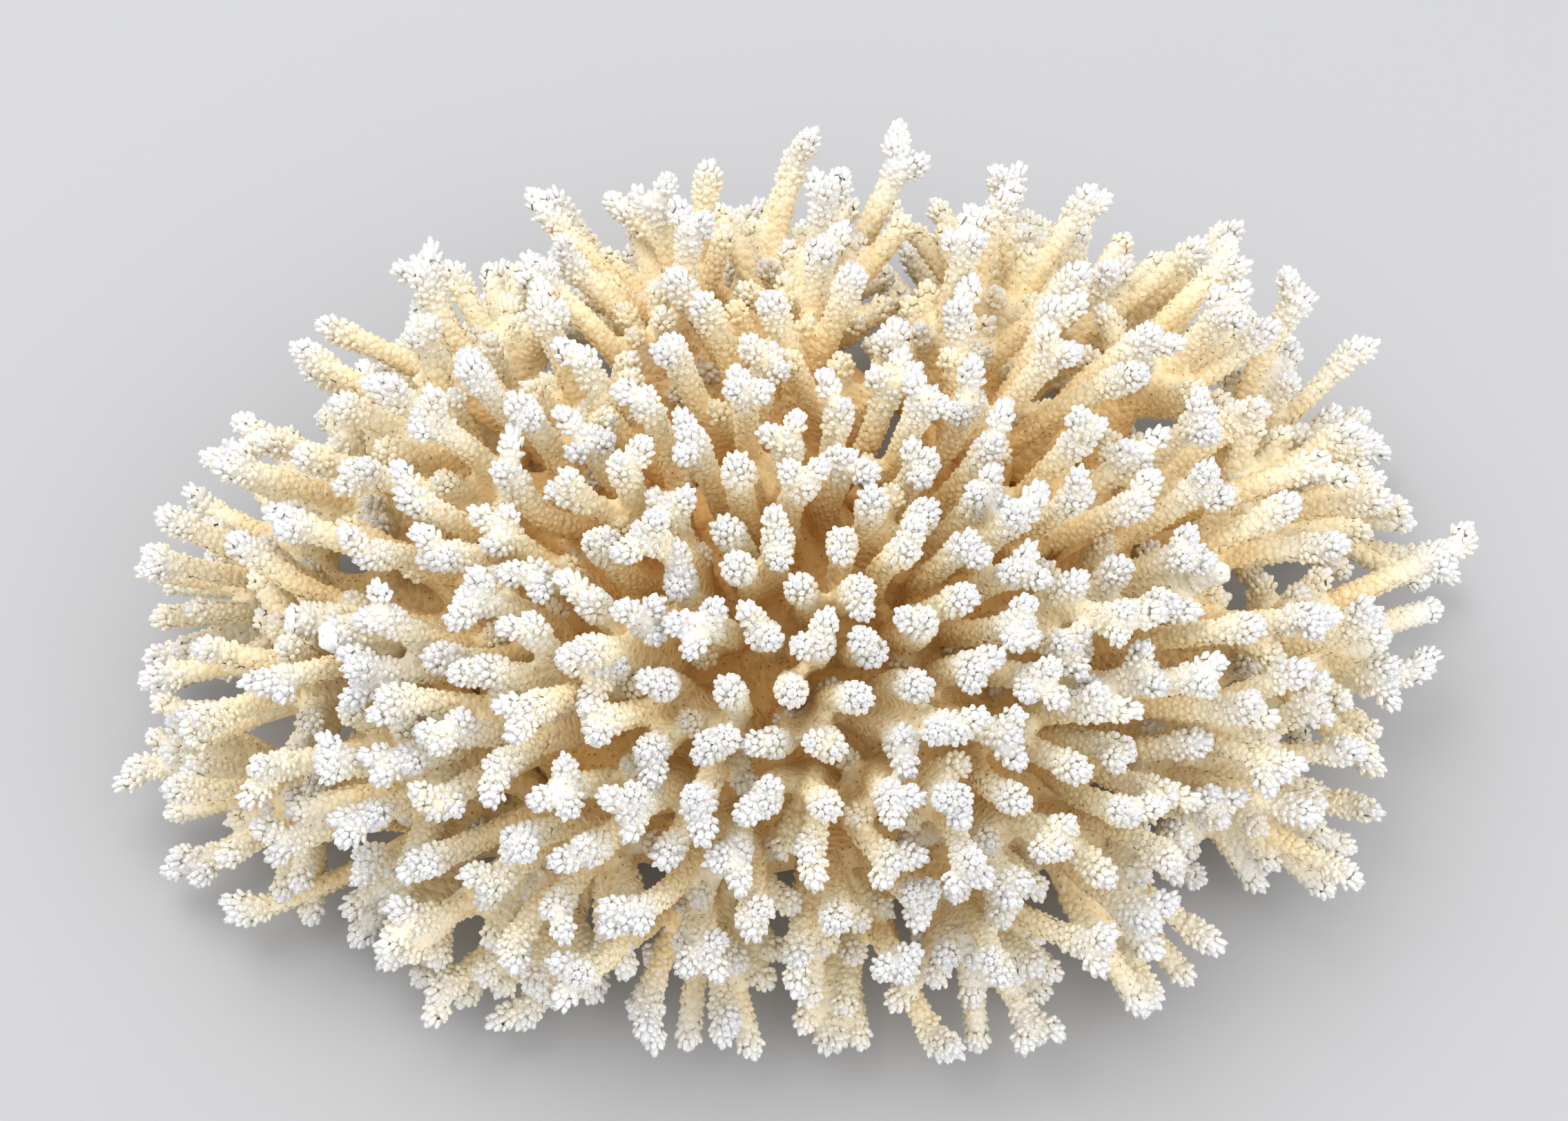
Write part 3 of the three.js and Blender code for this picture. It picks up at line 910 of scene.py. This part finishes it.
def makeSkeletonMaterial(finish):
    material = bpy.data.materials.new("bleachedSkeleton")
    material.use_nodes = True
    tree = material.node_tree
    shader = tree.nodes["Principled BSDF"]
    shader.inputs["Roughness"].default_value = finish["roughness"]
    shader.inputs["Subsurface Weight"].default_value = finish["glow"]
    shader.inputs["Subsurface Radius"].default_value = finish["glowTint"]
    shader.inputs["Subsurface Scale"].default_value = finish["glowReach"]
    shader.inputs["Specular IOR Level"].default_value = finish["shine"]

    place = tree.nodes.new("ShaderNodeTexCoord")
    fromTip = tree.nodes.new("ShaderNodeAttribute")
    fromTip.attribute_name = "fromTip"
    cupDepth = tree.nodes.new("ShaderNodeAttribute")
    cupDepth.attribute_name = "cupDepth"

    # tones wander a little up and down the fingers
    patches = newNode(tree, "ShaderNodeTexNoise", -1100, 300, Scale=finish["patchScale"], Detail=1.0)
    tree.links.new(place.outputs["Object"], patches.inputs["Vector"])
    shift = newNode(tree, "ShaderNodeMath", -900, 300)
    shift.operation = "MULTIPLY_ADD"
    shift.inputs[1].default_value = finish["patchShift"] * 4
    shift.inputs[2].default_value = -finish["patchShift"] * 2
    tree.links.new(patches.outputs["Fac"], shift.inputs[0])
    depth = newNode(tree, "ShaderNodeMath", -700, 300)
    tree.links.new(fromTip.outputs["Fac"], depth.inputs[0])
    tree.links.new(shift.outputs[0], depth.inputs[1])
    depthShare = newNode(tree, "ShaderNodeMath", -550, 300)
    depthShare.operation = "DIVIDE"
    depthShare.inputs[1].default_value = finish["toneReach"]
    tree.links.new(depth.outputs[0], depthShare.inputs[0])
    tones = [(depthInMm / finish["toneReach"], tone) for depthInMm, tone in finish["tones"]]
    colour = ramp(tree, depthShare.outputs[0], tones, -400, 300)

    # open pores: one small dot in each cell, pressed in by the bump and painted darker as the shade inside
    # it
    pores = newNode(tree, "ShaderNodeTexVoronoi", -1100, -100,
                    Scale=1 / finish["poreStep"], Randomness=finish["poreScatter"])
    tree.links.new(place.outputs["Object"], pores.inputs["Vector"])
    dot = ramp(tree, pores.outputs["Distance"], [(0.12, (1, 1, 1)), (0.19, (0, 0, 0))], -900, -100)
    # bare stems carry 0.5 in cupDepth, cups 0 outside and up to 1 in the pit
    onStem = ramp(tree, cupDepth.outputs["Fac"],
                  [(0.4, (0, 0, 0)), (0.49, (1, 1, 1)), (0.51, (1, 1, 1)), (0.6, (0, 0, 0))], -900, -350)
    poreShare = newNode(tree, "ShaderNodeMath", -650, -100)
    poreShare.operation = "MULTIPLY"
    tree.links.new(dot.outputs["Color"], poreShare.inputs[0])
    tree.links.new(onStem.outputs["Color"], poreShare.inputs[1])
    # painted shade deep in the pit of each cup
    pitShade = ramp(tree, cupDepth.outputs["Fac"], [(0.55, (0, 0, 0)), (1.0, (0.5, 0.5, 0.5))], -650, -350)
    poreAndPitShade = newNode(tree, "ShaderNodeMath", -450, -200)
    poreAndPitShade.operation = "MAXIMUM"
    tree.links.new(poreShare.outputs[0], poreAndPitShade.inputs[0])
    tree.links.new(pitShade.outputs["Color"], poreAndPitShade.inputs[1])
    # the tone darkened by the painted shade in pores and pits
    poreShaded = newNode(tree, "ShaderNodeMix", -250, 100)
    poreShaded.data_type = "RGBA"
    poreShaded.blend_type = "MULTIPLY"
    tree.links.new(poreAndPitShade.outputs[0], poreShaded.inputs["Factor"])
    tree.links.new(colour.outputs["Color"], poreShaded.inputs[6])
    poreShaded.inputs[7].default_value = (*finish["poreShadeTone"], 1)
    tree.links.new(poreShaded.outputs[2], shader.inputs["Base Color"])

    grain = newNode(tree, "ShaderNodeTexNoise", -1100, -600,
                    Scale=1 / finish["grain"] / 6, Detail=1.0, Roughness=0.65)
    tree.links.new(place.outputs["Object"], grain.inputs["Vector"])
    height = newNode(tree, "ShaderNodeMath", -650, -600)
    height.operation = "MULTIPLY_ADD"
    height.inputs[1].default_value = -finish["poreDepth"]
    tree.links.new(poreShare.outputs[0], height.inputs[0])
    tree.links.new(grain.outputs["Fac"], height.inputs[2])
    # low knobs between the pores
    knobHeight = newNode(tree, "ShaderNodeMath", -850, -850)
    knobHeight.operation = "MULTIPLY"
    tree.links.new(pores.outputs["Distance"], knobHeight.inputs[0])
    tree.links.new(onStem.outputs["Color"], knobHeight.inputs[1])
    allHeight = newNode(tree, "ShaderNodeMath", -450, -650)
    allHeight.operation = "MULTIPLY_ADD"
    allHeight.inputs[1].default_value = -finish["knobHeight"]
    tree.links.new(knobHeight.outputs[0], allHeight.inputs[0])
    tree.links.new(height.outputs[0], allHeight.inputs[2])
    bump = newNode(tree, "ShaderNodeBump", -250, -400,
                   Strength=finish["relief"], Distance=finish["reliefHeight"])
    tree.links.new(allHeight.outputs[0], bump.inputs["Height"])
    tree.links.new(bump.outputs["Normal"], shader.inputs["Normal"])
    return material


print("growing the limbs")
limbs = growLimbs()
for limb in limbs:
    limb["forks"] = [{"tips": tips, "point": forkPoint(tips), "lowTips": []} for tips in forkGroups(limb)]
    limb["bridges"] = []
allForks = [fork for limb in limbs for fork in limb["forks"]]
lowTips = growLowTips([tip for limb in limbs for tip in limb["tips"]])
for tip in lowTips:
    nearest = min(allForks, key=lambda fork: math.dist(fork["point"], tip))
    nearest["lowTips"].append(tip)
# forks that stand close are joined
for i, limb in enumerate(limbs):
    for fork in limb["forks"]:
        for other in limbs[i:]:
            for far in other["forks"]:
                if far is not fork and math.dist(fork["point"], far["point"]) < bridge["reach"]:
                    limb["bridges"].append((fork["point"], far["point"]))
allStems, index, number = [], 0, 0
for limb in limbs:
    limb["stems"], index = growStems(limb, index)
    for branch in limb["stems"]:
        branch["number"] = number
        number += 1
    allStems += limb["stems"]
farthest = 0
for limb in limbs:
    lowest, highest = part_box(limb["name"])
    tips = np.array(limb["tips"]) * mm
    above = np.max(tips.max(0) - np.array(highest))
    below = np.max(np.array(lowest) - tips.min(0))
    farthest = max(farthest, above, below)
print(f"{len(limbs)} limbs, {index} fingers, {len(lowTips)} short ones, {number} branches")
print(f"tips leave the solids' boxes by {farthest / mm:.2f} mm")

coralMaterial = makeSkeletonMaterial(skeletonFinish)
everyStem = samplesOf(allStems)
total = 0
for limb in limbs:
    piece = buildLimb(limb, limb["stems"], everyStem)
    piece.data.materials.append(coralMaterial)
    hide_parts(limb["name"])
    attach(piece, "root")
    total += len(piece.data.polygons)
print(f"limbs covered with cups: {total} triangles")

holdfastPiece = buildHoldfast(holdfast)
holdfastPiece.data.materials.append(coralMaterial)
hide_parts("holdfast")
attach(holdfastPiece, "root")
print(f"holdfast: {len(holdfastPiece.data.polygons)} triangles")


studio = {
    "floorTone": (0.40, 0.40, 0.41),
    "ambient": 1.25,
    "cameraTilt": 60.0,         # degrees above the floor
    "cameraDistance": 0.564,
    "lens": 59.4,
    "aim": (0, 0, 0.045),
    "floorSize": 30.0,
    "floorDrop": 0.0002,        # keeps the floor clear of the cut
    "floorRoughness": 0.8,
    "roomTone": (0.98, 0.99, 1.0),
    # name, place, size and power of each light
    "lights": [("keyLight", (-0.35, 0.25, 1.0), 0.7, 5.0),
               ("fillLight", (0.7, -0.5, 0.8), 0.9, 4.0)],
}


def makeStudio(studio):
    bpy.ops.mesh.primitive_plane_add(size=studio["floorSize"], location=(0, 0, -studio["floorDrop"]))
    floor = bpy.context.object
    floor.name = "floor"
    paper = bpy.data.materials.new("paleFloor")
    paper.use_nodes = True
    shader = paper.node_tree.nodes["Principled BSDF"]
    shader.inputs["Base Color"].default_value = (*studio["floorTone"], 1)
    shader.inputs["Roughness"].default_value = studio["floorRoughness"]
    floor.data.materials.append(paper)
    world = bpy.data.worlds.new("softRoom")
    world.use_nodes = True
    background = world.node_tree.nodes["Background"]
    background.inputs["Color"].default_value = (*studio["roomTone"], 1)
    background.inputs["Strength"].default_value = studio["ambient"]
    bpy.context.scene.world = world
    for name, place, size, power in studio["lights"]:
        light = bpy.data.lights.new(name, "AREA")
        light.size = size
        light.energy = power
        lamp = bpy.data.objects.new(name, light)
        lamp.location = place
        lamp.rotation_mode = "QUATERNION"
        lamp.rotation_quaternion = (Vector(place) - Vector(studio["aim"])).to_track_quat("Z", "Y")
        bpy.context.scene.collection.objects.link(lamp)


def makeCamera(studio):
    tilt = math.radians(studio["cameraTilt"])
    back = Vector((0, -math.cos(tilt), math.sin(tilt)))
    data = bpy.data.cameras.new("camera")
    data.lens = studio["lens"]
    data.sensor_width = 36
    camera = bpy.data.objects.new("camera", data)
    camera.location = Vector(studio["aim"]) + back * studio["cameraDistance"]
    camera.rotation_mode = "QUATERNION"
    camera.rotation_quaternion = back.to_track_quat("Z", "Y")
    bpy.context.scene.collection.objects.link(camera)
    bpy.context.scene.camera = camera


makeStudio(studio)
makeCamera(studio)
bpy.context.scene.view_settings.view_transform = "Standard"
print("studio is set")
